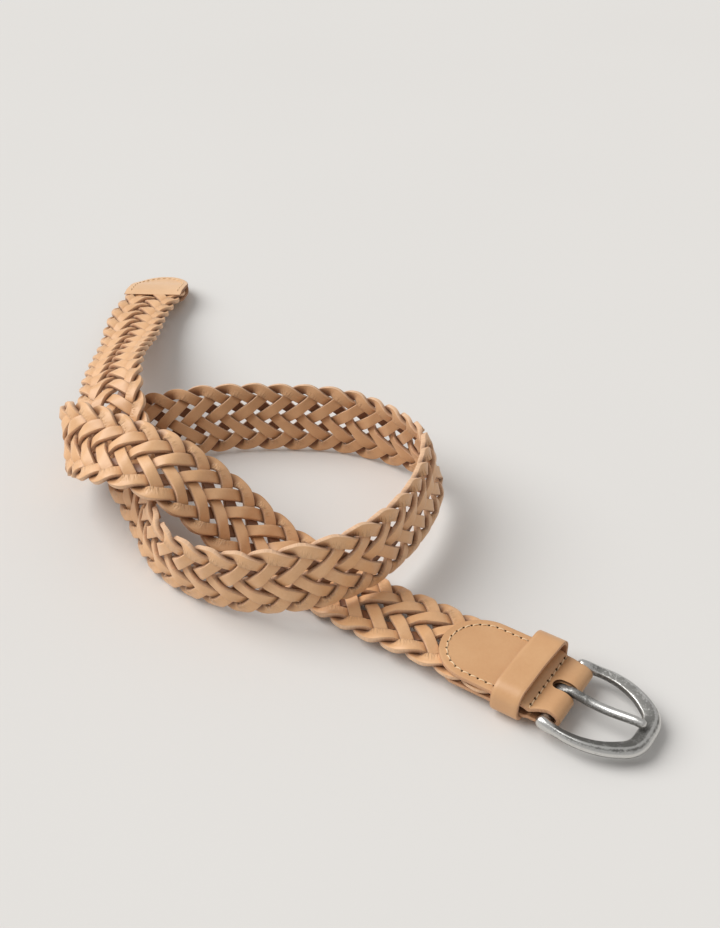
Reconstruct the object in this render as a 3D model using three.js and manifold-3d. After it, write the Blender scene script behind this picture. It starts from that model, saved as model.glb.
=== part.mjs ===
// A braided leather belt lying in a loose loop: a flat braid of seven strands, sewn at one end into a
// folded leather chape with a horseshoe buckle and a keeper loop, and at the other end into a tip tab.
// Millimetres, +Z up. The buckle's strap runs along X, with the buckle at its +X end.
import * as THREE from 'three';
import { mergeVertices } from 'three/addons/utils/BufferGeometryUtils.js';
import Module from 'manifold-3d';

const wasm = await Module();
wasm.setup();

// Driving dimensions of the braid.
const BRAID_WIDTH = 31.5;
const STRAND_COUNT = 7;
const COLUMNS = STRAND_COUNT - 1;
const PITCH = 11.5;               // spacing of the edge loops along the belt
const STRAND_WIDTH = 4.4;
const STRAND_THICKNESS = 1.5;
const WEAVE_OFFSET = 1.3;         // a strand's height over or under the braid's middle plane
const EDGE_REACH = BRAID_WIDTH / 2 - STRAND_WIDTH / 2;
const COLUMN_SPACING = 4.5;
const BRAID_THICKNESS = 2 * WEAVE_OFFSET + STRAND_THICKNESS;
const MAX_TURN = THREE.MathUtils.degToRad(9);   // largest bend between two sections of a strand

// Leather ends and their fittings.
const GAP = 0.3;
const LEATHER = 1.6;
const LAYER_MIDDLE = BRAID_THICKNESS / 2 + GAP + LEATHER / 2;
const CHAPE_LENGTH = 48;
const CHAPE_END_WIDTH = 32;
const CHAPE_FOLD_WIDTH = 30;
const CHAPE_NOSE = 16;            // length of the rounded end
const BRAID_START = 15;           // distance from the bar's centre to the ends of the strands
const CROSS_STITCH_AT = 6;
const PINCH = 0.9;                // how far each layer is drawn in at the cross stitches
const PINCH_START = 12;
const PINCH_END = 2.4;
const FOLD_STEPS = 5;
const STITCH_INSET = 2.8;
const THREAD_RADIUS = 0.3;
const THREAD_GAP = 0.1;
const THREAD_END_INSET = 1;
const SLOT_WIDTH = 4.8;
const SLOT_REACH = 5;

const KEEPER_LEATHER = 2.0;
const KEEPER_WIDTH = 10.7;
const KEEPER_AT = 13.2;
const KEEPER_INNER_WIDTH = 33.4;
const KEEPER_CORNER = 2.8;
const TIP_PASSAGE = 4.5;          // room over the chape for the belt's own tip

const BAR_RADIUS = 1.9;
const BAR_CLEARANCE = 0.08;
const BAR_INSET = 0.2;            // the bar's ends stop this far inside the knobs' faces
const FRAME_INNER_WIDTH = 31.6;
const FRAME_LENGTH = 31.5;        // bar centre to the middle of the front bar
const FRAME_DROP = 1.2;           // the front bar hangs this far below the bar
const ARM_WIDTH = 4.2;
const FRONT_WIDTH = 6.2;
const FRAME_THICKNESS = 4;
const KNOB_RADIUS = 3.2;
const PRONG_RADIUS = 1.7;
const PRONG_EYE_RADIUS = 3.2;
const PRONG_RISE = 2.6;
const PRONG_STEPS = 16;
const PRONG_SIDES = 10;
const PRONG_TAPER_START = 0.9;    // the prong's last tenth narrows to its blunt tip
const PRONG_TAPER = 0.4;

const TIP_LENGTH = 30;
const TIP_WIDTH = 32;
const TIP_NOSE = 17;
const TIP_COVER = 11;             // how far the tip's layers cover the braid
const TIP_CLOSED = 24;            // from here to the nose the two layers lie on each other
const TIP_LAYER_GAP = 0.1;

const STRAP_CLEARANCE = 1;        // room under the chape, so the keeper slides past its stitches
const STRAP_Z = KEEPER_LEATHER + STRAP_CLEARANCE + LAYER_MIDDLE + LEATHER / 2;

// The belt's route from the buckle bar to the tip: x, y, z of the middle line, then the roll in degrees.
// Roll 0 lies flat with its grain side up, and roll 90 stands on edge.
const ROUTE = [
  [0, 0, STRAP_Z, 0],
  [-26, 0, STRAP_Z, 0],
  [-50, 0, STRAP_Z, 0],
  [-62, 0.3, 6.6, 0],
  [-76, 1, 5, 0],
  [-98, 3.5, 3.4, 0],
  [-119, 5, 4.2, 2],
  [-135, 3, 10, 14],
  [-147, -0.5, 20, 24],
  [-158, -5.5, 32, 23],
  [-170, -10.5, 41, 17],
  [-185, -13, 43, 20],
  [-200, -13, 40.5, 33],
  [-214, -10.5, 37, 50],
  [-229, -6, 30, 72],
  [-238, 2.5, 20, 112],
  [-239, 15, 12, 145],
  [-231, 30, 12, 143],
  [-216, 41, 15.5, 124],
  [-200, 57, 16.6, 105],
  [-177, 74, 16.4, 102],
  [-156, 85, 16.4, 99],
  [-136, 88, 16.8, 92],
  [-115, 84, 19.5, 80],
  [-100, 75, 22.5, 74],
  [-90, 56, 23.6, 79],
  [-84.5, 31, 24.5, 85],
  [-86, 6, 25.2, 87],
  [-97, -14, 24, 89],
  [-119, -27.5, 19.5, 96],
  [-146, -31, 16.8, 97],
  [-168, -24, 16.4, 84],
  [-187, -9, 16, 67],
  [-208, 5, 18, 55],
  [-220, 12.5, 26, 37],
  [-231, 21, 32.5, 25],
  [-243, 33, 33, 22],
  [-261, 54, 27, 21],
  [-283, 85, 17, 13],
  [-305, 116, 11.6, 4],
  [-329, 164.5, 4.5, 3],
];
const SAMPLES_PER_SPAN = 12;

const LEATHER_TAN = 0xd3a273;
const LEATHER_PALE = 0xdcb083;
const THREAD_CREAM = 0xe9cfa6;
const SILVER = 0x8d8d8a;

const leather = (color) => new THREE.MeshStandardMaterial({ color, roughness: 0.55, metalness: 0 });
const thread = () => new THREE.MeshStandardMaterial({ color: THREAD_CREAM, roughness: 0.8, metalness: 0 });
const metal = () => new THREE.MeshStandardMaterial({ color: SILVER, roughness: 0.38, metalness: 1 });

const belt = new THREE.Group();

function addPart(name, geometry, material) {
  const mesh = new THREE.Mesh(geometry, material);
  mesh.name = name;
  belt.add(mesh);
  return mesh;
}

// Route sampling: a Catmull-Rom curve through x, y, z and roll, measured along its length.
function catmullRom(a, b, c, d, u) {
  return 0.5 * (2 * b + (c - a) * u + (2 * a - 5 * b + 4 * c - d) * u ** 2
    + (3 * b - a - 3 * c + d) * u ** 3);
}

function sampleRoute() {
  const samples = [];
  const last = ROUTE.length - 1;
  for (let span = 0; span < last; span += 1) {
    const a = ROUTE[Math.max(span - 1, 0)];
    const b = ROUTE[span];
    const c = ROUTE[span + 1];
    const d = ROUTE[Math.min(span + 2, last)];
    for (let k = 0; k < SAMPLES_PER_SPAN; k += 1) {
      samples.push(b.map((_, axis) => catmullRom(a[axis], b[axis], c[axis], d[axis], k / SAMPLES_PER_SPAN)));
    }
  }
  samples.push(ROUTE[last]);
  let length = 0;
  return samples.map((sample, i) => {
    if (i > 0) length += Math.hypot(...[0, 1, 2].map((axis) => sample[axis] - samples[i - 1][axis]));
    return { s: length, point: new THREE.Vector3(...sample.slice(0, 3)), roll: sample[3] };
  });
}

const route = sampleRoute();
const routeLength = route[route.length - 1].s;

function routePoint(s) {
  let i = route.findIndex((sample) => sample.s > s);
  if (i < 1) i = s <= 0 ? 1 : route.length - 1;
  const before = route[i - 1];
  const after = route[i];
  const u = (s - before.s) / (after.s - before.s);
  return {
    point: before.point.clone().lerp(after.point, u),
    roll: THREE.MathUtils.degToRad(before.roll + (after.roll - before.roll) * u),
  };
}

const FRAME_STEP = 2;             // half the distance over which the route's direction is measured

// The belt's own axes at distance s: along it, across it towards its upper edge, and out of its grain side.
function routeFrame(s) {
  const { point, roll } = routePoint(s);
  const along = routePoint(s + FRAME_STEP).point.sub(routePoint(s - FRAME_STEP).point).normalize();
  const level = along.clone().cross(new THREE.Vector3(0, 0, 1)).normalize();
  const upward = level.clone().cross(along);
  const across = level.multiplyScalar(Math.cos(roll)).addScaledVector(upward, Math.sin(roll));
  const outward = across.clone().cross(along);
  return { point, along, across, outward };
}

function onBelt(s, t, h) {
  const { point, across, outward } = routeFrame(s);
  return point.addScaledVector(across, t).addScaledVector(outward, h);
}

// A closed solid through a row of sections, each a ring of the same number of corners.
function loft(sections) {
  const corners = sections[0].length;
  const positions = sections.flatMap((section) => section.flatMap((corner) => corner.toArray()));
  const index = [];
  for (let i = 0; i < sections.length - 1; i += 1) {
    for (let k = 0; k < corners; k += 1) {
      const a = i * corners + k;
      const b = i * corners + ((k + 1) % corners);
      index.push(a, b + corners, b, a, a + corners, b + corners);
    }
  }
  const end = (sections.length - 1) * corners;
  for (let k = 1; k < corners - 1; k += 1) {
    index.push(0, k, k + 1, end, end + k + 1, end + k);
  }
  const geometry = new THREE.BufferGeometry();
  geometry.setAttribute('position', new THREE.Float32BufferAttribute(positions, 3));
  geometry.setIndex(index);
  geometry.computeVertexNormals();
  return geometry;
}

// One strand crosses the six columns on its way to the belt's upper edge and six more on its way back.
// Going up it runs under the first column, over two, under two and over the last.
const RISING_SIDES = [-1, 1, 1, -1, -1, 1];
const CROSSING_STEP = Math.hypot(PITCH / 2, COLUMN_SPACING);
const CROSSING_ANGLE = 2 * Math.atan2(COLUMN_SPACING, PITCH / 2);
const FLAT_REACH = (STRAND_WIDTH / 2) * (1 / Math.sin(CROSSING_ANGLE) + 1 / Math.tan(CROSSING_ANGLE));

function strandStations(first) {
  const stations = [];
  const flat = FLAT_REACH / CROSSING_STEP;
  const half = COLUMNS + 1;
  const steps = Math.ceil((routeLength / PITCH + STRAND_COUNT) * 2 / half) * half;
  for (let step = 0; step <= steps; step += 1) {
    const column = step % half;
    const rising = Math.floor(step / half) % 2 === 0;
    const s = first + (step * PITCH) / 2;
    if (column === 0) {
      stations.push({ s, t: rising ? -EDGE_REACH : EDGE_REACH, h: 0 });
      continue;
    }
    const k = rising ? column : half - column;
    const side = rising ? RISING_SIDES[k - 1] : -RISING_SIDES[k - 1];
    const t = (k - half / 2) * COLUMN_SPACING;
    const slope = rising ? COLUMN_SPACING : -COLUMN_SPACING;
    for (const reach of [-flat, flat]) {
      stations.push({ s: s + (reach * PITCH) / 2, t: t + reach * slope, h: side * WEAVE_OFFSET });
    }
  }
  return stations;
}

// Drops the inner stations of a float over two columns, where the belt doesn't bend there.
function needed(stations, i) {
  const here = stations[i];
  const before = stations[i - 1];
  const after = stations[i + 1];
  if (!before || !after || here.h === 0) return true;
  if (before.h !== here.h || after.h !== here.h) return true;
  return routeFrame(before.s).along.angleTo(routeFrame(after.s).along) > MAX_TURN;
}

function clipped(stations, from, to) {
  const cut = (a, b, s) => {
    const u = (s - a.s) / (b.s - a.s);
    return { s, t: a.t + (b.t - a.t) * u, h: a.h + (b.h - a.h) * u };
  };
  const kept = stations.filter((station) => station.s > from && station.s < to);
  const start = stations.findIndex((station) => station.s > from);
  const stop = stations.findIndex((station) => station.s >= to);
  const first = cut(stations[start - 1], stations[start], from);
  const last = cut(stations[stop - 1], stations[stop], to);
  return [first, ...kept, last];
}

function makeStrand(number) {
  const cycle = STRAND_COUNT * PITCH;
  const all = strandStations(BRAID_START - cycle + number * PITCH);
  const end = routeLength - TIP_LENGTH + TIP_COVER;
  const stations = clipped(all.filter((_, i) => needed(all, i)), BRAID_START, end);
  const sections = stations.map((station, i) => {
    const before = stations[Math.max(i - 1, 0)];
    const after = stations[Math.min(i + 1, stations.length - 1)];
    const run = new THREE.Vector2(after.s - before.s, after.t - before.t).normalize();
    return [[-1, -1], [1, -1], [1, 1], [-1, 1]].map(([edge, face]) => onBelt(
      station.s - run.y * edge * STRAND_WIDTH / 2,
      station.t + run.x * edge * STRAND_WIDTH / 2,
      station.h + face * STRAND_THICKNESS / 2,
    ));
  });
  return loft(sections);
}

// A flat leather layer on the belt between two distances, rounded towards its far end.
function layerHalfWidth(distance, length, width, nose) {
  const into = distance - (length - nose);
  if (into <= 0) return width / 2;
  return (width / 2) * Math.sqrt(Math.max(1 - (into / nose) ** 2, 0));
}

const NOSE_STEPS = 9;
const NOSE_END = 0.985;

function noseDistances(length, nose) {
  return Array.from({ length: NOSE_STEPS + 1 }, (_, i) => (
    length - nose + nose * NOSE_END * Math.sin((i / NOSE_STEPS) * Math.PI / 2)
  ));
}

// Half of the chape's side view: distance from the bar and height of the layer's middle.
function chapeProfile() {
  const foldRadius = LAYER_MIDDLE;
  const straight = [
    ...noseDistances(CHAPE_LENGTH, CHAPE_NOSE).reverse().map((x) => [-x, LAYER_MIDDLE]),
    [-PINCH_START, LAYER_MIDDLE],
    [-CROSS_STITCH_AT, LAYER_MIDDLE - PINCH],
    [-PINCH_END, LAYER_MIDDLE - PINCH / 4],
  ];
  const fold = Array.from({ length: FOLD_STEPS }, (_, i) => {
    const angle = (1 - (i + 1) / FOLD_STEPS) * Math.PI / 2;
    return [foldRadius * Math.cos(angle), foldRadius * Math.sin(angle)];
  });
  const upper = [...straight, ...fold];
  const lower = upper.slice(0, -1).reverse().map(([x, z]) => [x, -z]);
  return [...upper, ...lower];
}

function chapeHalfWidth(x) {
  const blend = THREE.MathUtils.clamp(-x / PINCH_START, 0, 1);
  const side = CHAPE_FOLD_WIDTH / 2 + (CHAPE_END_WIDTH - CHAPE_FOLD_WIDTH) / 2 * blend;
  return Math.min(side, layerHalfWidth(-x, CHAPE_LENGTH, CHAPE_END_WIDTH, CHAPE_NOSE));
}

function toManifold(geometry) {
  const bare = geometry.clone();
  for (const name of Object.keys(bare.attributes)) if (name !== 'position') bare.deleteAttribute(name);
  const merged = mergeVertices(bare, 1e-4);
  return new wasm.Manifold(new wasm.Mesh({
    numProp: 3,
    vertProperties: new Float32Array(merged.attributes.position.array),
    triVerts: new Uint32Array(merged.index.array),
  }));
}

function fromManifold(solid) {
  const mesh = solid.getMesh();
  const geometry = new THREE.BufferGeometry();
  geometry.setAttribute('position', new THREE.BufferAttribute(mesh.vertProperties, 3));
  geometry.setIndex(new THREE.BufferAttribute(mesh.triVerts, 1));
  geometry.computeVertexNormals();
  return geometry;
}

function makeChape() {
  const profile = chapeProfile();
  const sections = profile.map(([x, z], i) => {
    const before = profile[Math.max(i - 1, 0)];
    const after = profile[Math.min(i + 1, profile.length - 1)];
    const normal = new THREE.Vector2(-(after[1] - before[1]), after[0] - before[0]).normalize();
    const half = chapeHalfWidth(x);
    return [[-1, -1], [1, -1], [1, 1], [-1, 1]].map(([edge, face]) => new THREE.Vector3(
      x + normal.x * face * LEATHER / 2,
      -edge * half,
      STRAP_Z + z + normal.y * face * LEATHER / 2,
    ));
  });
  const slotLength = SLOT_REACH + LAYER_MIDDLE + LEATHER;
  const slot = new THREE.BoxGeometry(slotLength, SLOT_WIDTH, BRAID_THICKNESS * 3);
  slot.translate(slotLength / 2 - SLOT_REACH, 0, STRAP_Z);
  return fromManifold(toManifold(loft(sections)).subtract(toManifold(slot)));
}

// A thread is a square tube along a row of points lying on the belt.
function makeThread(points) {
  const sections = points.map((point, i) => {
    const before = points[Math.max(i - 1, 0)];
    const after = points[Math.min(i + 1, points.length - 1)];
    const run = new THREE.Vector2(after.s - before.s, after.t - before.t).normalize();
    return [[-1, -1], [1, -1], [1, 1], [-1, 1]].map(([edge, face]) => onBelt(
      point.s - run.y * edge * THREAD_RADIUS,
      point.t + run.x * edge * THREAD_RADIUS,
      point.h + face * THREAD_RADIUS,
    ));
  });
  return loft(sections);
}

const THREAD_HEIGHT = LAYER_MIDDLE + LEATHER / 2 + THREAD_GAP + THREAD_RADIUS;
const OUTLINE_STEPS = 12;
const SIDE_RUN = 8;               // how far the outline stitching runs back along each side

function outlineStitch(start, direction, length, width, nose, face) {
  const points = [];
  for (let i = 0; i <= OUTLINE_STEPS; i += 1) {
    const angle = (i / OUTLINE_STEPS - 0.5) * Math.PI;
    points.push({
      s: start + direction * (length - nose + (nose - STITCH_INSET) * Math.cos(angle)),
      t: (width / 2 - STITCH_INSET) * Math.sin(angle),
      h: face * THREAD_HEIGHT,
    });
  }
  const back = start + direction * (length - nose - SIDE_RUN);
  return [{ ...points[0], s: back }, ...points, { ...points[OUTLINE_STEPS], s: back }];
}

function crossStitch(at, width, height) {
  return [-1, 1].map((side) => ({ s: at, t: side * (width / 2 - THREAD_END_INSET), h: height }));
}

const TIP_STEP = 6;               // spacing of the sections along the tip's straight sides

// The middle of the tip's upper layer: level over the braid, then straight down to meet the lower layer.
function tipLayerHeight(distance) {
  const start = TIP_LENGTH - TIP_NOSE;
  const closing = THREE.MathUtils.clamp((distance - start) / (TIP_CLOSED - start), 0, 1);
  return THREE.MathUtils.lerp(LAYER_MIDDLE, (LEATHER + TIP_LAYER_GAP) / 2, closing);
}

function makeTipLayer(face) {
  const count = Math.floor((TIP_LENGTH - TIP_NOSE) / TIP_STEP);
  const straight = Array.from({ length: count }, (_, i) => i * TIP_STEP);
  const distances = [...straight, ...noseDistances(TIP_LENGTH, TIP_NOSE)];
  const sections = distances.map((distance) => {
    const half = layerHalfWidth(distance, TIP_LENGTH, TIP_WIDTH, TIP_NOSE);
    const s = routeLength - TIP_LENGTH + distance;
    return [[-1, -1], [1, -1], [1, 1], [-1, 1]].map(([edge, side]) => onBelt(
      s, edge * half, face * tipLayerHeight(distance) + side * LEATHER / 2,
    ));
  });
  return loft(sections);
}

function roundedLoop(width, height, corner) {
  const shape = new THREE.Shape();
  const x = width / 2;
  const y = height / 2;
  shape.moveTo(-x + corner, -y);
  shape.lineTo(x - corner, -y);
  shape.absarc(x - corner, -y + corner, corner, -Math.PI / 2, 0);
  shape.lineTo(x, y - corner);
  shape.absarc(x - corner, y - corner, corner, 0, Math.PI / 2);
  shape.lineTo(-x + corner, y);
  shape.absarc(-x + corner, y - corner, corner, Math.PI / 2, Math.PI);
  shape.lineTo(-x, -y + corner);
  shape.absarc(-x + corner, -y + corner, corner, Math.PI, Math.PI * 1.5);
  return shape;
}

const KEEPER_INNER_HEIGHT = 2 * (LAYER_MIDDLE + LEATHER / 2) + STRAP_CLEARANCE + TIP_PASSAGE;
const KEEPER_CORNER_STEPS = 5;

function makeKeeper() {
  const width = KEEPER_INNER_WIDTH + 2 * KEEPER_LEATHER;
  const height = KEEPER_INNER_HEIGHT + 2 * KEEPER_LEATHER;
  const shape = roundedLoop(width, height, KEEPER_CORNER);
  shape.holes.push(roundedLoop(KEEPER_INNER_WIDTH, KEEPER_INNER_HEIGHT, KEEPER_CORNER - KEEPER_LEATHER));
  const geometry = new THREE.ExtrudeGeometry(shape, {
    depth: KEEPER_WIDTH,
    bevelEnabled: false,
    curveSegments: KEEPER_CORNER_STEPS,
  });
  geometry.rotateX(Math.PI / 2);
  geometry.rotateZ(Math.PI / 2);
  geometry.translate(-KEEPER_AT - KEEPER_WIDTH / 2, 0, height / 2);
  return geometry;
}

// The frame's middle line in plan, from one knob round the front bar to the other.
const FRAME_STEPS = 24;
const FRAME_SIDES = 8;
const FRAME_BOW = 0.8;            // the two powers that set how square the horseshoe is
const FRAME_SPREAD = 0.62;
const FRAME_NUDGE = 0.01;         // step along the middle line that measures its direction
const ROUND_SEGMENTS = 24;
const BORE_SEGMENTS = 32;
const BORE_LENGTH = 80;

function framePoint(u) {
  const angle = (u - 0.5) * Math.PI;
  const halfWidth = FRAME_INNER_WIDTH / 2 + ARM_WIDTH / 2;
  const bow = Math.abs(Math.cos(angle)) ** FRAME_BOW;
  return new THREE.Vector3(
    FRAME_LENGTH * bow,
    halfWidth * Math.sign(Math.sin(angle)) * Math.abs(Math.sin(angle)) ** FRAME_SPREAD,
    STRAP_Z - FRAME_DROP * bow ** 2,
  );
}

function makeBore() {
  const radius = BAR_RADIUS + BAR_CLEARANCE;
  const bore = new THREE.CylinderGeometry(radius, radius, BORE_LENGTH, BORE_SEGMENTS);
  bore.translate(0, 0, STRAP_Z);
  return bore;
}

function makeFrame() {
  const steps = Array.from({ length: FRAME_STEPS + 1 }, (_, i) => i / FRAME_STEPS);
  const rings = steps.map((u) => {
    const centre = framePoint(u);
    const before = framePoint(Math.max(u - FRAME_NUDGE, 0));
    const along = framePoint(Math.min(u + FRAME_NUDGE, 1)).sub(before).setZ(0).normalize();
    const across = new THREE.Vector3(along.y, -along.x, 0);
    const front = Math.cos((u - 0.5) * Math.PI) ** 2;
    const half = (ARM_WIDTH + (FRONT_WIDTH - ARM_WIDTH) * front) / 2;
    return Array.from({ length: FRAME_SIDES }, (_, k) => {
      const turn = ((k + 0.5) / FRAME_SIDES) * 2 * Math.PI;
      return centre.clone().addScaledVector(across, half * Math.cos(turn))
        .add(new THREE.Vector3(0, 0, (FRAME_THICKNESS / 2) * Math.sin(turn)));
    });
  });
  let solid = toManifold(loft(rings));
  for (const side of [-1, 1]) {
    const knob = new THREE.CylinderGeometry(KNOB_RADIUS, KNOB_RADIUS, ARM_WIDTH, ROUND_SEGMENTS);
    knob.translate(0, side * (FRAME_INNER_WIDTH + ARM_WIDTH) / 2, STRAP_Z);
    solid = solid.add(toManifold(knob));
  }
  return fromManifold(solid.subtract(toManifold(makeBore())));
}

function makeBar() {
  const length = FRAME_INNER_WIDTH + 2 * (ARM_WIDTH - BAR_INSET);
  const bar = new THREE.CylinderGeometry(BAR_RADIUS, BAR_RADIUS, length, ROUND_SEGMENTS);
  bar.translate(0, 0, STRAP_Z);
  return bar;
}

// The prong's middle line, from the top of its eye over a low hump to rest on the front bar.
function prongCurve() {
  const eyeTop = STRAP_Z + PRONG_EYE_RADIUS - PRONG_RADIUS;
  const front = STRAP_Z - FRAME_DROP + FRAME_THICKNESS / 2 + PRONG_RADIUS + GAP;
  return new THREE.CatmullRomCurve3([
    new THREE.Vector3(-1, 0, eyeTop + 0.5),
    new THREE.Vector3(4, 0, eyeTop + 1.3),
    new THREE.Vector3(11, 0, STRAP_Z + PRONG_RISE),
    new THREE.Vector3(22, 0, front + 0.3),
    new THREE.Vector3(FRAME_LENGTH, 0, front),
  ]);
}

function makeProng() {
  const curve = prongCurve();
  const rings = Array.from({ length: PRONG_STEPS + 1 }, (_, i) => {
    const u = i / PRONG_STEPS;
    const centre = curve.getPoint(u);
    const along = curve.getTangent(u);
    const upward = new THREE.Vector3(-along.z, 0, along.x);
    const taper = Math.max(u - PRONG_TAPER_START, 0) / (1 - PRONG_TAPER_START);
    const radius = PRONG_RADIUS * (1 - PRONG_TAPER * taper);
    return Array.from({ length: PRONG_SIDES }, (_, k) => {
      const turn = (k / PRONG_SIDES) * 2 * Math.PI;
      return centre.clone().addScaledVector(upward, radius * Math.cos(turn))
        .add(new THREE.Vector3(0, radius * Math.sin(turn), 0));
    });
  });
  const eyeWidth = 2 * PRONG_RADIUS;
  const eye = new THREE.CylinderGeometry(PRONG_EYE_RADIUS, PRONG_EYE_RADIUS, eyeWidth, ROUND_SEGMENTS);
  eye.translate(0, 0, STRAP_Z);
  return fromManifold(toManifold(loft(rings)).add(toManifold(eye)).subtract(toManifold(makeBore())));
}

for (let number = 0; number < STRAND_COUNT; number += 1) {
  addPart(`strand_${number + 1}`, makeStrand(number), leather(LEATHER_TAN));
}
addPart('chape', makeChape(), leather(LEATHER_PALE));
for (const [name, face] of [['top', 1], ['bottom', -1]]) {
  const outline = outlineStitch(0, 1, CHAPE_LENGTH, CHAPE_END_WIDTH, CHAPE_NOSE, face);
  addPart(`chape_thread_${name}`, makeThread(outline), thread());
  const crossing = crossStitch(CROSS_STITCH_AT, CHAPE_FOLD_WIDTH, face * (THREAD_HEIGHT - PINCH));
  addPart(`cross_thread_${name}`, makeThread(crossing), thread());
}
addPart('keeper', makeKeeper(), leather(LEATHER_PALE));
addPart('buckle_frame', makeFrame(), metal());
addPart('buckle_bar', makeBar(), metal());
addPart('prong', makeProng(), metal());
for (const [name, face] of [['top', 1], ['bottom', -1]]) {
  addPart(`tip_${name}`, makeTipLayer(face), leather(LEATHER_PALE));
  const start = routeLength - TIP_LENGTH;
  const outline = outlineStitch(start, 1, TIP_LENGTH, TIP_WIDTH, TIP_NOSE, face);
  const lowered = outline.map((point) => {
    const drop = LAYER_MIDDLE - tipLayerHeight(point.s - start);
    return { ...point, h: point.h - face * drop };
  });
  addPart(`tip_thread_${name}`, makeThread(lowered), thread());
}

// The origin is the middle of the belt's footprint, on the surface it lies on.
const bounds = new THREE.Box3().setFromObject(belt);
const centre = bounds.getCenter(new THREE.Vector3());
belt.position.set(-centre.x, -centre.y, -bounds.min.z);

export default belt;
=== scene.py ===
import math

import bpy
import numpy as np
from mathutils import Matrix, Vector


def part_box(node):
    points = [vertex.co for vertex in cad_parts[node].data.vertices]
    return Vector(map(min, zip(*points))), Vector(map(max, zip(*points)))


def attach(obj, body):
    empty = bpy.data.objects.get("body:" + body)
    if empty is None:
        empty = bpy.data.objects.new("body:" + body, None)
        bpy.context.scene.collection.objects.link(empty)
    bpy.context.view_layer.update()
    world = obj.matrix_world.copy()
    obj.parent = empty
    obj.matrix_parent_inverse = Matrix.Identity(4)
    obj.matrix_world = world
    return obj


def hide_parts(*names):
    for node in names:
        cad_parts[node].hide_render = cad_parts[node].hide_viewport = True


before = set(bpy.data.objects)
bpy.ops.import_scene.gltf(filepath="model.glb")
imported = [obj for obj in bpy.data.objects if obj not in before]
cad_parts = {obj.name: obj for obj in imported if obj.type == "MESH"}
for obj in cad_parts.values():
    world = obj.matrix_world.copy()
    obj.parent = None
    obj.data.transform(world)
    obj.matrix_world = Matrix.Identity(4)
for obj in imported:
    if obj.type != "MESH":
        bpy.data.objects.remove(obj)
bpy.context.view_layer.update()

# A flat braid of seven leather strands in a loose loop, sewn into a chape with a horseshoe buckle at one end
# and into a rounded tip at the other. Metres throughout. Shapes are worked out with the buckle bar's centre
# over the origin, and PLACE moves them to where the frame has the bar.
MM = 0.001
BAR_LOW, BAR_HIGH = (np.array(corner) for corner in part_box("buckle_bar"))
BAR_CENTRE = (BAR_LOW + BAR_HIGH) / 2
STRAP_Z = BAR_CENTRE[2]
PLACE = np.array([BAR_CENTRE[0], BAR_CENTRE[1], 0])

# The braid.
STRANDS = 7
COLUMNS = STRANDS - 1
PITCH = 11.5 * MM                 # spacing of the edge loops along the belt
STRAND_WIDTH = 4.75 * MM
STRAND_THICKNESS = 1.95 * MM
STRAND_CORNER = 0.22 * MM
COLUMN_SPACING = 4.5 * MM         # between the lines along the belt on which strands cross
EDGE_REACH = 13.5 * MM            # how far a strand's middle swings out where it turns
BRAID_START = 15 * MM             # distance from the bar to the ends of the strands
LATTICE_PHASE = BRAID_START - STRANDS * PITCH   # where the first strand's cycle starts
CYCLE = 2 * (COLUMNS + 1)         # half pitches before a strand repeats itself

# The sewn leather ends.
PRESSED = 0.72                    # the sewn ends press the braid to this part of its thickness
PRESSED_HALF = 1.6 * MM           # half the room between a sewn end's two leather layers
LEATHER = 1.5 * MM
LAYER_MIDDLE = PRESSED_HALF + LEATHER / 2
FOLD_REACH = 4.4 * MM             # the leather's middle passes this far in front of the bar's centre
FOLD_RISE = 2.9 * MM              # and this far above and below it
CHAPE_LENGTH = 48 * MM
CHAPE_HALF = 16 * MM
CHAPE_LOWER_HALF = 15.2 * MM      # its lower layer is cut a little narrower
CHAPE_ROW_HALF = 15.4 * MM        # at the cross stitches
CHAPE_FOLD_HALF = 13.4 * MM
CHAPE_FULL_AT = 13 * MM           # distance behind the bar where it reaches its full width
CHAPE_NOSE = 16 * MM              # length of its rounded end
CROSS_STITCH_AT = 6 * MM
PINCH = 0.6 * MM                  # how far the cross stitches pull each layer in
STITCH_INSET = 2.8 * MM           # from the leather's edge to the row of stitches
STITCH_PITCH = 3.2 * MM
THREAD_RADIUS = 0.28 * MM
TIP_LENGTH = 30 * MM
TIP_HALF = 16 * MM
TIP_NOSE = 17 * MM
TIP_COVER = 11 * MM               # how far the tip's layers cover the braid
TIP_CLOSED = 24 * MM              # where the two layers have come together

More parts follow.
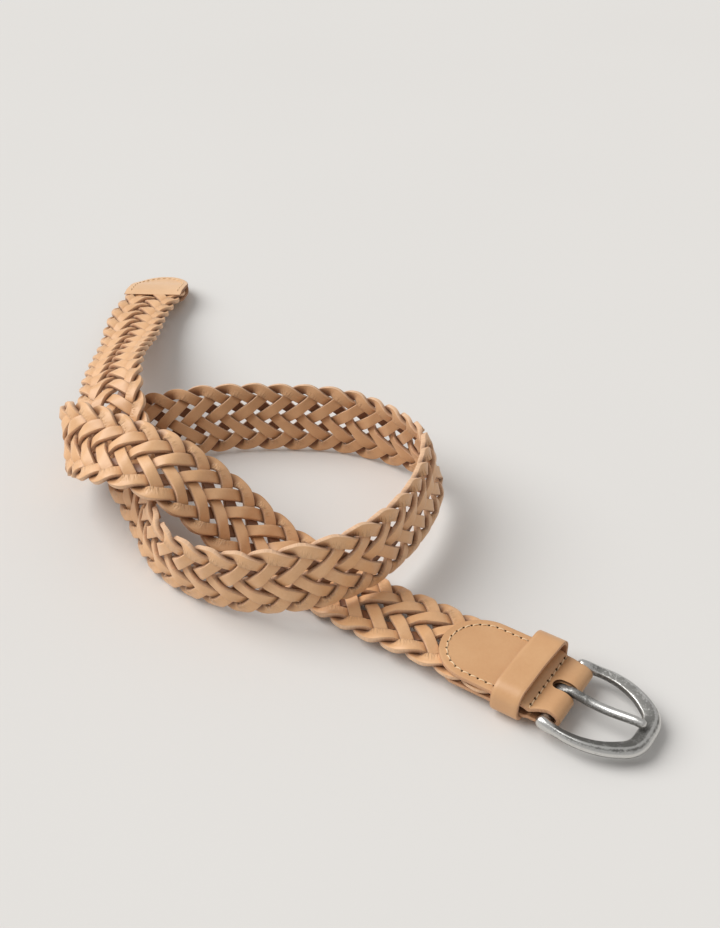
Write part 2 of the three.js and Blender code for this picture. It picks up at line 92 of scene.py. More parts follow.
# The belt's route from the buckle bar to the tip: x, y, z of its middle line, then its roll in degrees.
ROUTE = [
    (0, 0, STRAP_Z, 0),
    (-0.026, 0, STRAP_Z, 0),
    (-0.050, 0, STRAP_Z, 0),
    (-0.062, 0.0003, 0.0066, 0),
    (-0.076, 0.001, 0.005, 0),
    (-0.098, 0.0035, 0.0034, 0),
    (-0.119, 0.005, 0.0042, 2),
    (-0.135, 0.003, 0.010, 14),
    (-0.147, -0.0005, 0.020, 24),
    (-0.158, -0.0055, 0.032, 23),
    (-0.170, -0.0105, 0.041, 17),
    (-0.185, -0.013, 0.043, 20),
    (-0.200, -0.013, 0.0405, 33),
    (-0.214, -0.0105, 0.037, 50),
    (-0.229, -0.006, 0.030, 72),
    (-0.238, 0.0025, 0.020, 112),
    (-0.239, 0.015, 0.012, 145),
    (-0.231, 0.030, 0.012, 143),
    (-0.216, 0.041, 0.0155, 124),
    (-0.200, 0.057, 0.0166, 105),
    (-0.177, 0.074, 0.0164, 102),
    (-0.156, 0.085, 0.0164, 99),
    (-0.136, 0.088, 0.0168, 92),
    (-0.115, 0.084, 0.0195, 80),
    (-0.100, 0.075, 0.0225, 74),
    (-0.090, 0.056, 0.0236, 79),
    (-0.0845, 0.031, 0.0245, 85),
    (-0.086, 0.006, 0.0252, 87),
    (-0.097, -0.014, 0.024, 89),
    (-0.119, -0.0275, 0.0195, 96),
    (-0.146, -0.031, 0.0168, 97),
    (-0.168, -0.024, 0.0164, 84),
    (-0.187, -0.009, 0.016, 67),
    (-0.208, 0.005, 0.018, 55),
    (-0.220, 0.0125, 0.026, 37),
    (-0.231, 0.021, 0.0325, 25),
    (-0.243, 0.033, 0.033, 22),
    (-0.261, 0.054, 0.027, 21),
    (-0.283, 0.085, 0.017, 13),
    (-0.305, 0.116, 0.0116, 4),
    (-0.329, 0.1645, 0.0045, 3),
]
SAMPLES_PER_SPAN = 12
DIRECTION_REACH = 2 * MM          # half the distance over which the route's direction is measured
ROUTE_SPACING = 0.5 * MM


def catmull_rom(a, b, c, d, u):
    return 0.5 * (2 * b + (c - a) * u + (2 * a - 5 * b + 4 * c - d) * u**2 + (3 * b - a - 3 * c + d) * u**3)


def curve_through(points, per_span):
    """Samples a Catmull-Rom curve through the rows of points, both ends included."""
    points = np.array(points, dtype=float)
    padded = np.vstack([points[:1], points, points[-1:]])
    spans = np.repeat(np.arange(len(points) - 1), per_span)
    u = np.tile(np.arange(per_span) / per_span, len(points) - 1)[:, None]
    a, b, c, d = (padded[spans + k] for k in range(4))
    return np.vstack([catmull_rom(a, b, c, d, u), points[-1:]])


def lengths_along(points):
    return np.concatenate([[0], np.cumsum(np.linalg.norm(np.diff(points, axis=0), axis=1))])


def unit(vectors):
    return vectors / np.linalg.norm(vectors, axis=-1, keepdims=True)


def smooth_step(x):
    x = np.clip(x, 0, 1)
    return x * x * (3 - 2 * x)


def columns_at(at, knots, columns):
    """Reads each column of a table at the given distances."""
    return np.stack([np.interp(at, knots, column) for column in columns.T], axis=-1)


def belt_frame():
    """Evenly spaced distances along the belt, its middle line and its directions there, and its length."""
    samples = curve_through(ROUTE, SAMPLES_PER_SPAN)
    knots = lengths_along(samples[:, :3])
    s = np.arange(0, knots[-1], ROUTE_SPACING)
    points = columns_at(s, knots, samples[:, :3])
    roll = np.radians(np.interp(s, knots, samples[:, 3]))[:, None]
    ahead = columns_at(s + DIRECTION_REACH, knots, samples[:, :3])
    behind = columns_at(s - DIRECTION_REACH, knots, samples[:, :3])
    along = unit(ahead - behind)
    level = unit(np.cross(along, (0, 0, 1)))
    upward = np.cross(level, along)
    across = level * np.cos(roll) + upward * np.sin(roll)
    return s, points, across, np.cross(across, along), knots[-1]


ROUTE_S, ROUTE_POINTS, ROUTE_ACROSS, ROUTE_OUTWARD, BELT_LENGTH = belt_frame()


def on_belt(s, t, h):
    """Points at distance s along the belt, t across it and h out of its grain side."""
    tables = (ROUTE_POINTS, ROUTE_ACROSS, ROUTE_OUTWARD)
    point, across, outward = (columns_at(s, ROUTE_S, table) for table in tables)
    return point + np.asarray(t)[..., None] * across + np.asarray(h)[..., None] * outward


# Mesh building.
def new_mesh(name, points, faces, material):
    mesh = bpy.data.meshes.new(name)
    mesh.from_pydata(np.reshape(points, (-1, 3)).tolist(), [], faces)
    mesh.materials.append(material)
    return mesh


def add_object(name, data):
    made = bpy.data.objects.new(name, data)
    bpy.context.scene.collection.objects.link(made)
    return made


def shade(mesh, smooth_angle):
    mesh.shade_smooth()
    mesh.set_sharp_from_angle(angle=math.radians(smooth_angle))


def make_piece(name, points, faces, body, material, attributes=None, smooth_angle=50):
    """A mesh object in the frame, riding on a CAD body."""
    mesh = new_mesh(name, points + PLACE, faces, material)
    for key, values in (attributes or {}).items():
        layer = mesh.attributes.new(key, "FLOAT", "POINT")
        layer.data.foreach_set("value", np.asarray(values, dtype=np.float32).ravel())
    shade(mesh, smooth_angle)
    mesh.update()
    piece = add_object(name, mesh)
    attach(piece, body)
    return piece


def loft_faces(rows, corners, closed=False):
    """Faces of a tube through rows of rings, capped at its ends or joined into a loop."""
    row = np.arange(rows if closed else rows - 1)[:, None]
    k = np.arange(corners)[None, :]
    this, after = row * corners, (row + 1) % rows * corners
    side = (k + 1) % corners
    quads = np.stack([this + k, this + side, after + side, after + k], -1)
    faces = quads.reshape(-1, 4).tolist()
    if not closed:
        faces.append(list(range(corners))[::-1])
        faces.append([(rows - 1) * corners + k for k in range(corners)])
    return faces


def off_curve(curve, normal, lift):
    """Both coordinates of points lifted off a plane curve along its normal, a row for each of its points."""
    return curve[:, :1] + normal[:, :1] * lift, curve[:, 1:] + normal[:, 1:] * lift


def around(sides):
    """Evenly spaced angles round a full turn."""
    return np.arange(sides) / sides * 2 * math.pi


def leather_section(half, thickness, corner, lanes):
    """A strip's section with rounded corners, as u across and v out of the grain face, with masks for its cut
    edges and its flesh side. It runs anticlockwise, seen with the strip coming towards the viewer."""
    flat = half - corner
    level = thickness / 2
    bevel = corner * (1 - math.sqrt(0.5))
    across = np.linspace(-flat, flat, lanes)
    top = [(u, level, 0, 0) for u in across[::-1]]
    left = [(-half + bevel, level - bevel, 0.7, 0), (-half, level - corner, 1, 0),
            (-half, -level + corner, 1, 0), (-half + bevel, -level + bevel, 1, 0.3)]
    bottom = [(u, -level, 0, 1) for u in across]
    right = [(-u, -v, 0.7 if i == 3 else 1, 0.3 if i == 0 else 0) for i, (u, v, _, _) in enumerate(left)]
    return np.array(top + left + bottom + right)


# The weave. A strand crosses six columns on its way to the belt's upper edge, over (1) or under (-1) another
# strand, and the same six on its way back, each on the opposite side.
RISING_SIDES = (-1, 1, 1, -1, -1, 1)


def lattice_cycle():
    """A strand's place across the belt and its side, at each half pitch of one cycle."""
    across, sides = [], []
    for step in range(CYCLE):
        column = step % (COLUMNS + 1)
        rising = step < COLUMNS + 1
        if column == 0:
            across.append(-EDGE_REACH if rising else EDGE_REACH)
            sides.append(0)
            continue
        k = column if rising else COLUMNS + 1 - column
        across.append((k - (COLUMNS + 1) / 2) * COLUMN_SPACING)
        sides.append(RISING_SIDES[k - 1] if rising else -RISING_SIDES[k - 1])
    return np.array(across), np.array(sides)


LATTICE_ACROSS, LATTICE_SIDES = lattice_cycle()


def around_cycle(values, step):
    """A smooth periodic curve through one value for each half pitch."""
    i = np.floor(step).astype(int)
    a, b, c, d = (values[(i + k) % CYCLE] for k in (-1, 0, 1, 2))
    return catmull_rom(a, b, c, d, step - i)


def strand_line(step):
    """A strand's middle line in the belt's plane: distance along, across, and its unit direction. It runs
    straight over the columns and turns back along a parabola at each edge."""
    half = COLUMNS + 1
    from_turn = (step + half / 2) % half - half / 2
    upper = np.where(np.round(step / half) % 2 == 1, 1, -1)
    away = np.abs(from_turn)
    depth = np.where(away < 1, away**2 / 2, away - 0.5) * COLUMN_SPACING
    slope = np.minimum(away, 1) * np.sign(from_turn) * COLUMN_SPACING
    length = np.hypot(PITCH / 2, slope)
    return step * PITCH / 2, upper * (EDGE_REACH - depth), PITCH / 2 / length, -upper * slope / length


# The relaxed ribbon: each step pulls it straight, resists bending, keeps it flat across and parts contacts.
GRID = 12                         # its rows for each half pitch
LANES = 9                         # and its points across
CONTACT_REACH = 0.5 * MM          # grid points nearer than this in the belt's plane lie on each other
CONTACT_GAP = 0.1 * MM
RELAX_STEPS = 600
TENSION = 0.015
STIFFNESS = 0.1
FLATNESS = 0.5
SETTLE_STEPS = 6                  # smoothing steps at the end


def crossing_side(step, shift):
    """A strand's side where it meets the one shift pitches ahead: 1 over, -1 under, 0 no crossing."""
    nearest = sorted(range(math.floor(step) - 1, math.floor(step) + 3), key=lambda a: abs(a - step))
    for a in nearest[:3]:
        other = (a - 2 * shift) % CYCLE
        same_place = abs(LATTICE_ACROSS[a % CYCLE] - LATTICE_ACROSS[other]) < CONTACT_GAP
        if same_place and LATTICE_SIDES[a % CYCLE] * LATTICE_SIDES[other] < 0:
            return LATTICE_SIDES[a % CYCLE]
    return 0


def strand_contacts(along, across, steps):
    """Pairs of grid points, upper and lower, where a strand lies on another one."""
    period = STRANDS * PITCH
    uppers, lowers = [], []
    flat_along, flat_across = along.ravel(), across.ravel()
    for shift in range(-COLUMNS, STRANDS):
        side = np.array([crossing_side(step, shift) if shift else 0 for step in steps])
        rows = np.nonzero(side > 0)[0]
        if len(rows) == 0:
            continue
        points = (rows[:, None] * LANES + np.arange(LANES)).ravel()
        apart = flat_along[points, None] - flat_along[None, :] - shift * PITCH
        apart = (apart + period / 2) % period - period / 2
        distance = np.hypot(apart, flat_across[points, None] - flat_across[None, :])
        nearest = distance.argmin(axis=1)
        touching = distance[np.arange(len(points)), nearest] < CONTACT_REACH
        uppers.append(points[touching])
        lowers.append(nearest[touching])
    return np.concatenate(uppers), np.concatenate(lowers)


def relaxed_ribbon():
    """Heights over one cycle of a strand, on a grid along and across it, with stiff strands at rest."""
    steps = np.arange(CYCLE * GRID) / GRID
    u = np.linspace(-0.5, 0.5, LANES) * STRAND_WIDTH
    s, t, run, rise = (values[:, None] for values in strand_line(steps))
    upper, lower = strand_contacts(s - rise * u, t + run * u, steps)
    heights = np.repeat(around_cycle(LATTICE_SIDES * STRAND_THICKNESS / 2, steps)[:, None], LANES, axis=1)
    clear = STRAND_THICKNESS + CONTACT_GAP
    for _ in range(RELAX_STEPS):
        bend = np.roll(heights, 1, 0) + np.roll(heights, -1, 0) - 2 * heights
        change = np.roll(bend, 1, 0) + np.roll(bend, -1, 0) - 2 * bend
        heights = heights + TENSION * bend - STIFFNESS * change
        tilt = (heights * u).sum(1, keepdims=True) / (u * u).sum()
        level = heights.mean(1, keepdims=True) + tilt * u
        heights = (heights + FLATNESS * (level - heights)).ravel()
        push = np.maximum(clear - (heights[upper] - heights[lower]), 0) / 2
        lift, drop = np.zeros_like(heights), np.zeros_like(heights)
        np.maximum.at(lift, upper, push)
        np.maximum.at(drop, lower, push)
        heights = (heights + lift - drop).reshape(-1, LANES)
    for _ in range(SETTLE_STEPS):
        heights = (np.roll(heights, 1, 0) + 2 * heights + np.roll(heights, -1, 0)) / 4
    return heights


RIBBON = relaxed_ribbon()


def ribbon_height(step, u):
    """The relaxed height at a place along and across a strand."""
    row = (step % CYCLE) * GRID
    lane = np.clip(u / STRAND_WIDTH + 0.5, 0, 1) * (LANES - 1)
    i, j = np.floor(row).astype(int), np.minimum(np.floor(lane).astype(int), LANES - 2)
    a, b = row - i, lane - j
    i, after = i % (CYCLE * GRID), (i + 1) % (CYCLE * GRID)
    near = RIBBON[i, j] * (1 - b) + RIBBON[i, j + 1] * b
    far = RIBBON[after, j] * (1 - b) + RIBBON[after, j + 1] * b
    return near * (1 - a) + far * a


SECTIONS_PER_STEP = 9
STRAND_TOP_LANES = 5
STRAND_PER_BELT = 1.27            # a strand's own length for each length of belt
WIDTH_WANDER = 0.025              # how unevenly the strands are cut, as a part of their width
WIDTH_WAVELENGTH = 90 * MM
ASIDE_WANDER = 0.12 * MM          # how unevenly they lie
ASIDE_WAVELENGTH = 50 * MM
ASIDE_SHIFT = 3                   # sets the second wander apart from the first
# The two waves of a wander: size, part of its wavelength, and phase from one strand to the next.
WANDER_WAVES = ((0.6, 1, 1.7), (0.4, 0.37, 2.9))
TURN_WIDTH = 1.7                  # half pitches on each side of an edge turn that are wrinkled
TURN_INNER = (0.35, 1.6)          # wrinkling in the middle of a turning strand, and growth to its inner edge
DEEP_SHADE_GROWTH = (-0.1, 2)           # painted shade on a face at the braid's middle, and its growth below that
PRESSED_OVER = 9 * MM             # the length over which the braid swells out of a sewn end
CHAPE_RELEASE = 3 * MM            # how far inside the chape that starts
TIP_RELEASE = 2 * MM              # and inside the tip


def slow_wander(s, number, wavelength):
    """A smooth hand-made unevenness between -1 and 1, different for each strand."""
    return sum(size * np.sin(2 * math.pi * s / (wavelength * part) + phase * number)
               for size, part, phase in WANDER_WAVES)


def pressed(s):
    """The part of its full thickness that the braid keeps at a distance along the belt."""
    free_start = smooth_step((s - CHAPE_LENGTH + CHAPE_RELEASE) / PRESSED_OVER)
    free_end = smooth_step((BELT_LENGTH - TIP_LENGTH + TIP_RELEASE - s) / PRESSED_OVER)
    return PRESSED + (1 - PRESSED) * free_start * free_end


def make_strand(number, material):
    """One strand: the relaxed ribbon's shape carried along the belt's route, with a little unevenness."""
    first = LATTICE_PHASE + number * PITCH
    last = BELT_LENGTH - TIP_LENGTH + TIP_COVER
    low, high = ((end - first) / (PITCH / 2) for end in (BRAID_START, last))
    steps = np.linspace(low, high, int((high - low) * SECTIONS_PER_STEP))[:, None]
    section = leather_section(STRAND_WIDTH / 2, STRAND_THICKNESS, STRAND_CORNER, STRAND_TOP_LANES)
    u, v, edge, flesh = section.T
    s, t, run, rise = strand_line(steps)
    wide = 1 + WIDTH_WANDER * slow_wander(s, number, WIDTH_WAVELENGTH)
    aside = ASIDE_WANDER * slow_wander(s, number + ASIDE_SHIFT, ASIDE_WAVELENGTH)
    along = first + s - rise * u * wide
    across = t + aside + run * u * wide
    height = ribbon_height(steps, u[None, :])
    points = on_belt(along, across, (height + v) * pressed(along))
    shape = np.ones_like(points[..., 0])
    place = (steps / (COLUMNS + 1) + 0.5) % 1 - 0.5
    near_turn = np.clip(1 - np.abs(place) * (COLUMNS + 1) / TURN_WIDTH, 0, 1)
    inner = np.clip(TURN_INNER[0] - np.sign(t) * np.sign(run) * u / STRAND_WIDTH * TURN_INNER[1], 0, 1)
    attributes = {
        # deep: painted shade on the parts of a face that lie below the braid's middle
        "deep": np.clip(DEEP_SHADE_GROWTH[0] - np.sign(v) * height / STRAND_THICKNESS * DEEP_SHADE_GROWTH[1], 0, 1),
        "along": shape * (steps * PITCH / 2 * STRAND_PER_BELT),
        "across": shape * u,
        "edge": shape * edge,
        "flesh": shape * flesh,
        "turn": near_turn * inner * shape,
    }
    faces = loft_faces(len(steps), len(section))
    piece = make_piece(f"braid_strand_{number + 1}", points, faces, "strap",
                       material, attributes)
    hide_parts(f"strand_{number + 1}")


# Materials.
def linear(red, green, blue):
    """An sRGB colour from 0 to 255 as linear numbers for a shader."""
    def channel(value):
        value /= 255
        return value / 12.92 if value <= 0.04045 else ((value + 0.055) / 1.055) ** 2.4
    return (channel(red), channel(green), channel(blue), 1)


def darker(colour, part):
    return [channel * part for channel in colour[:3]] + [1]


class Shader:
    """A material's node tree, with short calls for the nodes that the materials here share."""

    def __init__(self, name):
        self.material = bpy.data.materials.new(name)
        self.material.use_nodes = True
        self.tree = self.material.node_tree
        self.surface = self.tree.nodes["Principled BSDF"]

    def node(self, kind, links=None, **settings):
        made = self.tree.nodes.new("ShaderNode" + kind)
        for key, value in settings.items():
            setattr(made, key, value)
        for key, value in (links or {}).items():
            self.feed(made.inputs[key], value)
        return made

    def feed(self, socket, value):
        """Links a socket to another one, or gives it a plain value."""
        if isinstance(value, bpy.types.NodeSocket):
            self.tree.links.new(value, socket)
        else:
            socket.default_value = value

    def attribute(self, name):
        return self.node("Attribute", attribute_name=name, attribute_type="GEOMETRY").outputs["Fac"]

    def place(self):
        return self.node("TexCoord").outputs["Object"]

    def noise(self, vector, scale, detail=3.0, roughness=0.55):
        links = {"Vector": vector, "Scale": scale, "Detail": detail, "Roughness": roughness}
        return self.node("TexNoise", links).outputs["Fac"]

    def stretched(self, vector, scale):
        return self.node("VectorMath", {0: vector, 1: scale}, operation="MULTIPLY").outputs["Vector"]

    def math(self, operation, first, second=0.0, clamp=False):
        return self.node("Math", {0: first, 1: second}, operation=operation, use_clamp=clamp).outputs[0]

    def ramp(self, value, low, high, to_low=0.0, to_high=1.0):
        links = {"Value": value, "From Min": low, "From Max": high, "To Min": to_low, "To Max": to_high}
        return self.node("MapRange", links, clamp=True).outputs[0]

    def mix(self, factor, first, second, blend="MIX"):
        made = self.node("Mix", {"Factor": factor, 6: first, 7: second}, data_type="RGBA", blend_type=blend)
        return made.outputs[2]

    def combine(self, x, y, z):
        return self.node("CombineXYZ", {"X": x, "Y": y, "Z": z}).outputs[0]

    def bump(self, height, strength, distance, onto=None):
        links = {"Height": height, "Strength": strength, "Distance": distance}
        if onto is not None:
            links["Normal"] = onto
        return self.node("Bump", links).outputs["Normal"]

    def finish(self, **inputs):
        for key, value in inputs.items():
            self.feed(self.surface.inputs[key.replace("_", " ")], value)
        return self.material


def leather_material(name, grain, grain_deep, edge, flesh):
    """Vegetable-tanned leather: a satin grain face, raw fibrous cut edges and a suede flesh side. The mesh's
    masks tell them apart, add fine wrinkles in the turns with painted shade in their creases, and paint
    shade on what lies deep in the braid."""
    shader = Shader(name)
    place = shader.place()
    is_edge, is_flesh, turn = (shader.attribute(mask) for mask in ("edge", "flesh", "turn"))
    mottle = shader.noise(place, 70, 4)
    speckle = shader.noise(place, 900, 3)
    pores = shader.node("TexVoronoi", {"Vector": place, "Scale": 2600.0}).outputs["Distance"]
    tone = shader.math("ADD", shader.math("MULTIPLY", mottle, 0.75), shader.math("MULTIPLY", speckle, 0.25))
    face = shader.mix(shader.ramp(tone, 0.36, 0.66), grain_deep, grain)
    fibre_place = shader.combine(
        shader.math("MULTIPLY", shader.attribute("along"), 1400.0), shader.math("MULTIPLY", is_edge, 2.0),
        shader.math("MULTIPLY", shader.attribute("across"), 5200.0))
    fibres = shader.noise(fibre_place, 1.0, 4, 0.7)
    fuzz = shader.noise(place, 3200, 3, 0.7)
    cut_face = shader.mix(shader.ramp(fibres, 0.3, 0.7), darker(edge, 0.76), edge)
    suede = shader.mix(fuzz, darker(flesh, 0.84), flesh)
    colour = shader.mix(is_flesh, face, suede)
    colour = shader.mix(is_edge, colour, cut_face)
    wrinkle_place = shader.combine(
        shader.math("MULTIPLY", shader.attribute("along"), 1250.0),
        shader.math("MULTIPLY", shader.attribute("across"), 330.0), 0.0)
    wrinkles = shader.ramp(shader.noise(wrinkle_place, 1.0, 2, 0.5), 0.36, 0.6)
    # Painted shade in the troughs of the wrinkles at the turns.
    crease_shade = shader.math("MULTIPLY", turn, shader.ramp(wrinkles, 0.6, 0, 0, 0.5))
    colour = shader.mix(crease_shade, colour, darker(grain_deep, 0.62))
    # Painted shade: faces deep in the braid are multiplied towards a dark brown.
    hollow_shade = shader.math("MULTIPLY", shader.attribute("deep"), 0.75)
    colour = shader.mix(hollow_shade, colour, linear(112, 62, 30), "MULTIPLY")
    smooth = shader.math("SUBTRACT", 1.0, shader.math("MAXIMUM", is_edge, is_flesh), clamp=True)
    rough = shader.math("ADD", shader.math("MULTIPLY", is_edge, 0.3), shader.ramp(tone, 0.3, 0.7, 0.34, 0.46))
    rough = shader.math("ADD", rough, shader.math("MULTIPLY", is_flesh, 0.3), clamp=True)
    normal = shader.bump(pores, 0.12, 0.1 * MM)
    normal = shader.bump(shader.math("MULTIPLY", wrinkles, turn), 0.9, 0.7 * MM, normal)
    ragged = shader.math("MULTIPLY", shader.math("SUBTRACT", 1.0, smooth), shader.math("ADD", fibres, fuzz))
    normal = shader.bump(ragged, 0.6, 0.35 * MM, normal)
    return shader.finish(Base_Color=colour, Roughness=rough, Normal=normal, Specular_IOR_Level=0.55,
                         Sheen_Weight=0.1, Sheen_Roughness=0.4)


def thread_material():
    """Waxed cream thread: fine cross fibres and a soft sheen."""
    shader = Shader("thread_cream")
    place = shader.place()
    fibres = shader.noise(place, 5200, 3, 0.7)
    mottle = shader.noise(place, 600, 2)
    shade = shader.mix(fibres, linear(222, 184, 140), linear(252, 226, 188))
    colour = shader.mix(shader.ramp(mottle, 0.35, 0.7, 0, 0.3), shade, linear(226, 182, 136))
    return shader.finish(Base_Color=colour, Roughness=0.62, Normal=shader.bump(fibres, 0.5, 0.12 * MM))


def shaded_hole_material():
    """The fibrous wall of a punched hole, painted dark brown as the shade deep inside it."""
    shader = Shader("leather_hole_painted_shade")
    fibres = shader.noise(shader.place(), 4000, 3)
    colour = shader.mix(fibres, linear(58, 32, 16), linear(104, 64, 38))
    return shader.finish(Base_Color=colour, Roughness=0.95, Normal=shader.bump(fibres, 0.5, 0.2 * MM))


def metal_material():
    """Antique silver: bright where it is burnished and where painted highlights and reflections lie, with
    dark speckled patina in between.
    """
    shader = Shader("antique_silver")
    place = shader.place()
    speckle = shader.noise(place, 1500, 5, 0.8)
    cloud = shader.noise(place, 260, 3, 0.6)
    scratch = shader.noise(shader.stretched(place, (700, 3800, 3800)), 1.0, 3, 0.6)
    burnish_and_highlight = shader.attribute("burnish_and_highlight")
    dark = shader.math("ADD", shader.math("MULTIPLY", speckle, 0.62), shader.math("MULTIPLY", cloud, 0.38))
    tarnish = shader.ramp(shader.math("SUBTRACT", dark, shader.math("MULTIPLY", burnish_and_highlight, 0.3)), 0.3, 0.48)
    bright = shader.mix(scratch, linear(198, 197, 194), linear(226, 225, 222))
    colour = shader.mix(tarnish, bright, linear(124, 123, 120))
    rough = shader.ramp(tarnish, 0, 1, 0.3, 0.56)
    normal = shader.bump(speckle, 0.35, 0.14 * MM)
    normal = shader.bump(scratch, 0.08, 0.05 * MM, normal)
    return shader.finish(Base_Color=colour, Roughness=rough, Normal=normal, Metallic=1.0)


# The braid's cut edges are lighter than its grain partly as raw leather and partly as painted highlight.
BRAID_LEATHER = leather_material("braid_leather_tan", linear(236, 188, 141), linear(224, 173, 124),
                                 linear(246, 202, 162), linear(226, 174, 126))
END_LEATHER = leather_material("end_leather_tan", linear(215, 168, 121), linear(208, 158, 111),
                               linear(220, 168, 126), linear(180, 128, 88))
# The tip is the belt's tan leather with painted light on its grain, paler than the chape's, and painted shade
# on its darker cut edges.
TIP_LEATHER_LIT_AND_SHADED = leather_material("tip_leather_tan_lit_and_shaded", linear(240, 198, 156), linear(232, 188, 144),
                               linear(176, 124, 86), linear(200, 150, 108))
THREAD = thread_material()
HOLE = shaded_hole_material()
METAL = metal_material()


# Sewn leather pieces.
END_CORNER = 0.3 * MM
END_LANES = 17


def strip_across(section, half):
    """Places across a strip of changing half width, from a section whose half width is 1. Its rounded edges
    keep their size, and what lies between them is stretched."""
    place = np.abs(section[:, 0])
    edge = np.maximum(half[:, None] - (1 - place), 0)
    return np.where(place > 1 - END_CORNER * 1.01, edge, place * half[:, None]) * np.sign(section[:, 0])


def strip_attributes(section, along, across):
    """The leather's masks for a strip without edge turns."""
    shape = np.ones((len(along), len(section)))
    return {"along": shape * np.asarray(along)[:, None], "across": across, "edge": shape * section[:, 2],
            "flesh": shape * section[:, 3], "turn": shape * 0}


def nose_half(distance, length, half, nose):
    """Half the width of a strip with a rounded end, at a distance from its square end."""
    into = np.clip((distance - (length - nose)) / nose, 0, 1)
    return half * np.sqrt(np.maximum(1 - into**2, 0))


NOSE_ROWS = 20
NOSE_END = 0.9992                 # the last row is this far along the nose, so that it keeps some width


def nose_rows(length, nose):
    """Distances of the rows along a rounded end, closer together towards its tip."""
    return length - nose + nose * NOSE_END * np.sin(np.linspace(0, 1, NOSE_ROWS) * math.pi / 2)


# The chape's upper layer from the side: x and the height of its middle. It bulges behind the cross stitches.
CHAPE_BEHIND = [(-32 * MM, LAYER_MIDDLE), (-20 * MM, LAYER_MIDDLE), (-13 * MM, LAYER_MIDDLE),
                (-9.8 * MM, LAYER_MIDDLE + 0.45 * MM), (-7.6 * MM, LAYER_MIDDLE + 0.05 * MM)]
CHAPE_PINCHED = [(-CROSS_STITCH_AT, LAYER_MIDDLE - PINCH), (-4.6 * MM, LAYER_MIDDLE - 0.2 * MM),
                 (-2.4 * MM, FOLD_RISE - 0.25 * MM)]
FOLD_ANGLES = (78, 50, 25, 0)
CHAPE_ROWS_PER_SPAN = 8


def chape_profile():
    """The chape's side view from its upper nose over the bar to its lower nose: x and height of its middle.
    The lower layer mirrors the upper one, but without its bulge."""
    fold = [(FOLD_REACH * math.cos(a), FOLD_RISE * math.sin(a)) for a in np.radians(FOLD_ANGLES)]
    upper = CHAPE_BEHIND + CHAPE_PINCHED + fold
    lower = [(x, -min(z, LAYER_MIDDLE)) for x, z in CHAPE_BEHIND]
    lower += [(x, -z) for x, z in CHAPE_PINCHED + fold[:-1]]
    whole = curve_through(upper + lower[::-1], CHAPE_ROWS_PER_SPAN)
    ends = [(-x, LAYER_MIDDLE) for x in nose_rows(CHAPE_LENGTH, CHAPE_NOSE)[::-1][:-1]]
    return np.vstack([ends, whole, [(x, -z) for x, z in ends[::-1]]])


def chape_half(profile):
    """Half the chape's width along its side view."""
    x, z = profile.T
    side = np.interp(-x, (0, CROSS_STITCH_AT, CHAPE_FULL_AT), (CHAPE_FOLD_HALF, CHAPE_ROW_HALF, CHAPE_HALF))
    half = np.minimum(side, nose_half(-x, CHAPE_LENGTH, CHAPE_HALF, CHAPE_NOSE))
    return np.where(z < 0, np.minimum(half, CHAPE_LOWER_HALF), half)


def prism(outline, low, high):
    """An upright prism over a convex outline, as points and faces."""
    n = len(outline)
    points = [(x, y, z) for z in (low, high) for x, y in outline]
    faces = [list(range(n))[::-1], list(range(n, 2 * n))]
    faces += [[k, (k + 1) % n, n + (k + 1) % n, n + k] for k in range(n)]
    return points, faces


def hole_outline(x, y, radius):
    return [(x + radius * math.cos(turn), y + radius * math.sin(turn)) for turn in around(HOLE_SIDES)]


def join_parts(parts):
    """Several parts, each with points and faces, as one."""
    points, faces = [], []
    for part_points, part_faces in parts:
        faces += [[k + len(points) for k in face] for face in part_faces]
        points += list(part_points)
    return np.array(points), faces


def cut(piece, parts, smooth_angle=50):
    """Cuts prisms out of a piece; the new walls take the hole material."""
    points, faces = join_parts(parts)
    cutter = add_object("cutter", new_mesh("cutter", points + PLACE, faces, HOLE))
    boolean = piece.modifiers.new("cut", "BOOLEAN")
    boolean.object = cutter
    boolean.solver = "EXACT"
    boolean.material_mode = "TRANSFER"
    depsgraph = bpy.context.evaluated_depsgraph_get()
    result = bpy.data.meshes.new_from_object(piece.evaluated_get(depsgraph))
    piece.modifiers.clear()
    piece.data = result
    shade(result, smooth_angle)
    bpy.data.objects.remove(cutter)


OUTLINE_HOLE = 0.45 * MM          # radius of the holes round the rounded end
OUTLINE_START = 20.5 * MM         # distance of the first one behind the bar
CROSS_HOLE = 0.6 * MM             # radius of those in the row across the chape
CROSS_HOLES = 9
CROSS_PITCH = 3.3 * MM
CROSS_MARGIN = 0.3 * MM           # from the leather's edge to the row's first and last stitch
HOLE_SIDES = 14
HOLE_DEPTHS = (0.6 * MM, 6 * MM)  # heights from the chape's middle between which the holes are cut
SLOT_HALF = 2.4 * MM
SLOT_REACH = 4.2 * MM             # how far behind the bar the slot starts
SLOT_FRONT = 6 * MM               # and how far the cut reaches in front of it, right through the fold
SLOT_RISE = 9 * MM
SLOT_POINTS = 15                  # round its end
OUTLINE_SLANT = 0.35 * MM         # how far a stitch leans across its row
CROSS_SLANT = 0.3 * MM


def outline_points(length, half, nose, start):
    """Stitch holes along a strip's rounded end: distance along the strip and place across it."""
    turn = np.radians(np.linspace(-90, 90, 181))
    reach = length - nose + (nose - STITCH_INSET) * np.cos(turn)
    arc = np.stack([reach, (half - STITCH_INSET) * np.sin(turn)], 1)
    path = np.vstack([[start, arc[0, 1]], arc, [start, arc[-1, 1]]])
    knots = lengths_along(path)
    count = round(knots[-1] / STITCH_PITCH)
    return columns_at(np.linspace(0, knots[-1], count + 1), knots, path)


STITCH_CLEAR = 0.45 * MM          # a stitch dives this far short of the middle of its hole
STITCH_STEPS = 11
# A stitch's heights over the leather, at places from one end to the other.
STITCH_ARCH = ((0, 0.12, 0.5, 0.88, 1), (-0.6 * MM, 0.1 * MM, 0.2 * MM, 0.1 * MM, -0.6 * MM))
THREAD_SIDES = 8
THREAD_PLIES = 2
PLY_DEPTH = 0.14                  # how far the thread's radius changes over its plies
THREAD_TWIST = 4                  # radians over one stitch


